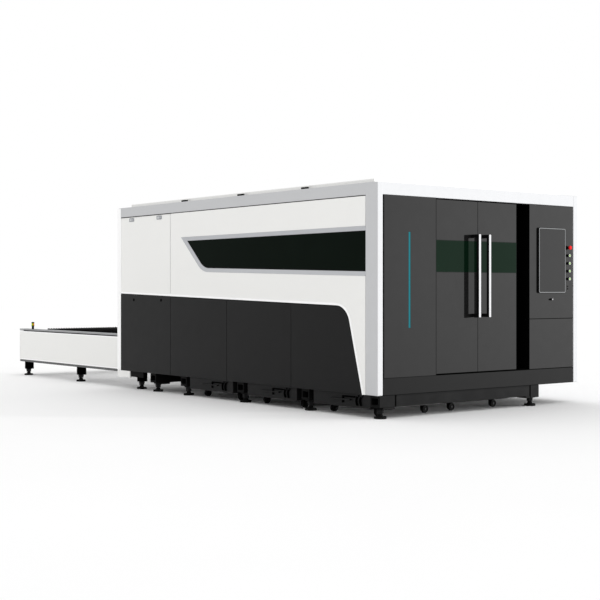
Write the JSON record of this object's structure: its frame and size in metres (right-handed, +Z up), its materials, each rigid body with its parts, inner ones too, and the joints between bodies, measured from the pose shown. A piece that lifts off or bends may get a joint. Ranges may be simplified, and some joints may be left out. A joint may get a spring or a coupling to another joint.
{
  "type": "fiber laser cutting machine",
  "caption": "Enclosed fiber laser cutting machine with a dark two-leaf door end, a raked side window, a control cabinet, scrap trolleys and a low exchange table.",
  "frame": {"origin": "on the floor, under the middle of the whole machine's box", "axes": "+X along the length towards the door end, +Y across towards the cabinet side, +Z up; the window side faces -Y"},
  "size_m": [7.78, 2.866, 2.246],
  "materials": {
    "white_paint": "satin powder coat",
    "frame_paint": "satin powder coat",
    "charcoal_paint": "fine satin powder coat",
    "black_paint": "matt powder coat",
    "bevel_paint": "satin paint",
    "tinted_glass": "dark laser-safe glazing",
    "green_glass": "dark green laser-safe glazing",
    "screen_glass": "dark gloss screen in a thin silver edge",
    "light_strip": "translucent light strip",
    "handle_metal": "brushed steel with dark sides",
    "steel": "ground steel",
    "slat_steel": "dark cut plate",
    "rubber": "black",
    "red_plastic": "gloss red",
    "green_plastic": "gloss green",
    "machine_grey": "hammered grey paint"
  },
  "bodies": {
    "machine": {"corner_columns": "frame_paint", "band_front": "frame_paint", "band_rear": "frame_paint", "band_near": "frame_paint", "band_far": "frame_paint", "roof_panel": "frame_paint", "roof_lugs": "black_paint", "side_panel_main": "white_paint", "side_panel_rear": "white_paint", "window_frame": "bevel_paint", "window_glass": "tinted_glass", "lower_side_panels": "charcoal_paint", "panel_latches": "bevel_paint", "far_side_panels": "white_paint", "front_panel": "charcoal_paint", "light_strip": "light_strip", "door_portal": "black_paint", "front_skirt": "charcoal_paint", "cabinet_shell": "black_paint", "bed_frame": "black_paint", "levelling_feet": "black_paint", "laser_source": "machine_grey", "gantry_rails": "steel", "table_frame": "black_paint", "table_panels": "white_paint", "signal_post": "black_paint", "rear_portal": "frame_paint"},
    "door_left": {"door_left": "charcoal_paint", "door_left_glass": "green_glass", "door_left_handle": "handle_metal"},
    "door_right": {"door_right": "charcoal_paint", "door_right_glass": "green_glass", "door_right_handle": "handle_metal"},
    "cabinet_upper_door": {"cabinet_upper_door": "charcoal_paint", "control_screen": "screen_glass", "button_bezels": "steel"},
    "cabinet_lower_door": {"cabinet_lower_door": "charcoal_paint"},
    "push_button_1": {"push_button_1": "green_plastic"},
    "push_button_2": {"push_button_2": "green_plastic"},
    "push_button_3": {"push_button_3": "green_plastic"},
    "push_button_4": {"push_button_4": "green_plastic"},
    "emergency_stop": {"emergency_stop": "red_plastic"},
    "gantry": {"gantry_beam": "machine_grey"},
    "carriage": {"cross_carriage": "machine_grey"},
    "head": {"cutting_head": "steel"},
    "pallet": {"pallet_frame": "black_paint", "pallet_slats": "slat_steel"},
    "rear_shutter": {"rear_shutter": "steel"},
    "trolley_1": {"trolley_1": "black_paint"},
    "trolley_1_front_wheels": {"trolley_1_front_wheels": "rubber"},
    "trolley_1_rear_wheels": {"trolley_1_rear_wheels": "rubber"},
    "far_trolley_1": {"far_trolley_1": "black_paint"},
    "trolley_2": {"trolley_2": "black_paint"},
    "trolley_2_front_wheels": {"trolley_2_front_wheels": "rubber"},
    "trolley_2_rear_wheels": {"trolley_2_rear_wheels": "rubber"},
    "far_trolley_2": {"far_trolley_2": "black_paint"},
    "trolley_3": {"trolley_3": "black_paint"},
    "trolley_3_front_wheels": {"trolley_3_front_wheels": "rubber"},
    "trolley_3_rear_wheels": {"trolley_3_rear_wheels": "rubber"},
    "far_trolley_3": {"far_trolley_3": "black_paint"}
  },
  "joints": [
    {"name": "door_left_hinge", "type": "hinge", "parent": "machine", "child": "door_left", "pos_m": [3.79, -0.677, 1.23], "axis": [0, 0, -1], "range_deg": [0, 105]},
    {"name": "door_right_hinge", "type": "hinge", "parent": "machine", "child": "door_right", "pos_m": [3.79, 0.466, 1.23], "axis": [0, 0, 1], "range_deg": [0, 105]},
    {"name": "cabinet_upper_hinge", "type": "hinge", "parent": "machine", "child": "cabinet_upper_door", "pos_m": [3.79, 1.36, 1.49], "axis": [0, 0, 1], "range_deg": [0, 105]},
    {"name": "cabinet_lower_hinge", "type": "hinge", "parent": "machine", "child": "cabinet_lower_door", "pos_m": [3.79, 1.36, 0.64], "axis": [0, 0, 1], "range_deg": [0, 105]},
    {"name": "push_button_1_press", "type": "slide", "parent": "cabinet_upper_door", "child": "push_button_1", "axis": [-1, 0, 0], "range_m": [0, 0.003], "stiffness_N_per_m": 500},
    {"name": "push_button_2_press", "type": "slide", "parent": "cabinet_upper_door", "child": "push_button_2", "axis": [-1, 0, 0], "range_m": [0, 0.003], "stiffness_N_per_m": 500},
    {"name": "push_button_3_press", "type": "slide", "parent": "cabinet_upper_door", "child": "push_button_3", "axis": [-1, 0, 0], "range_m": [0, 0.003], "stiffness_N_per_m": 500},
    {"name": "push_button_4_press", "type": "slide", "parent": "cabinet_upper_door", "child": "push_button_4", "axis": [-1, 0, 0], "range_m": [0, 0.003], "stiffness_N_per_m": 500},
    {"name": "emergency_stop_press", "type": "slide", "parent": "cabinet_upper_door", "child": "emergency_stop", "axis": [-1, 0, 0], "range_m": [0, 0.006]},
    {"name": "gantry_travel", "type": "slide", "parent": "machine", "child": "gantry", "axis": [-1, 0, 0], "range_m": [0, 3.1]},
    {"name": "carriage_travel", "type": "slide", "parent": "gantry", "child": "carriage", "axis": [0, 1, 0], "range_m": [0, 1.46]},
    {"name": "head_height", "type": "slide", "parent": "carriage", "child": "head", "axis": [0, 0, -1], "range_m": [0, 0.12]},
    {"name": "pallet_travel", "type": "slide", "parent": "machine", "child": "pallet", "axis": [1, 0, 0], "range_m": [0, 3.15]},
    {"name": "rear_shutter_travel", "type": "slide", "parent": "machine", "child": "rear_shutter", "axis": [0, 0, -1], "range_m": [0, 0.44]},
    {"name": "trolley_1_travel", "type": "slide", "parent": "machine", "child": "trolley_1", "axis": [0, -1, 0], "range_m": [0, 0.9]},
    {"name": "trolley_1_front_wheels_spin", "type": "hinge", "parent": "trolley_1", "child": "trolley_1_front_wheels", "pos_m": [3.239, -1.24, 0.0385], "axis": [1, 0, 0], "continuous": true},
    {"name": "trolley_1_rear_wheels_spin", "type": "hinge", "parent": "trolley_1", "child": "trolley_1_rear_wheels", "pos_m": [3.239, -0.637, 0.0385], "axis": [1, 0, 0], "continuous": true},
    {"name": "far_trolley_1_travel", "type": "slide", "parent": "machine", "child": "far_trolley_1", "axis": [0, 1, 0], "range_m": [0, 1.2]},
    {"name": "trolley_2_travel", "type": "slide", "parent": "machine", "child": "trolley_2", "axis": [0, -1, 0], "range_m": [0, 0.9]},
    {"name": "trolley_2_front_wheels_spin", "type": "hinge", "parent": "trolley_2", "child": "trolley_2_front_wheels", "pos_m": [2.129, -1.24, 0.0385], "axis": [1, 0, 0], "continuous": true},
    {"name": "trolley_2_rear_wheels_spin", "type": "hinge", "parent": "trolley_2", "child": "trolley_2_rear_wheels", "pos_m": [2.129, -0.637, 0.0385], "axis": [1, 0, 0], "continuous": true},
    {"name": "far_trolley_2_travel", "type": "slide", "parent": "machine", "child": "far_trolley_2", "axis": [0, 1, 0], "range_m": [0, 1.2]},
    {"name": "trolley_3_travel", "type": "slide", "parent": "machine", "child": "trolley_3", "axis": [0, -1, 0], "range_m": [0, 0.9]},
    {"name": "trolley_3_front_wheels_spin", "type": "hinge", "parent": "trolley_3", "child": "trolley_3_front_wheels", "pos_m": [1.019, -1.24, 0.0385], "axis": [1, 0, 0], "continuous": true},
    {"name": "trolley_3_rear_wheels_spin", "type": "hinge", "parent": "trolley_3", "child": "trolley_3_rear_wheels", "pos_m": [1.019, -0.637, 0.0385], "axis": [1, 0, 0], "continuous": true},
    {"name": "far_trolley_3_travel", "type": "slide", "parent": "machine", "child": "far_trolley_3", "axis": [0, 1, 0], "range_m": [0, 1.2]}
  ],
  "couplings": [
    {"joint": "trolley_1_front_wheels_spin", "follows": "trolley_1_travel", "rad_per_m": 25.974},
    {"joint": "trolley_1_rear_wheels_spin", "follows": "trolley_1_travel", "rad_per_m": 25.974},
    {"joint": "trolley_2_front_wheels_spin", "follows": "trolley_2_travel", "rad_per_m": 25.974},
    {"joint": "trolley_2_rear_wheels_spin", "follows": "trolley_2_travel", "rad_per_m": 25.974},
    {"joint": "trolley_3_front_wheels_spin", "follows": "trolley_3_travel", "rad_per_m": 25.974},
    {"joint": "trolley_3_rear_wheels_spin", "follows": "trolley_3_travel", "rad_per_m": 25.974}
  ]
}
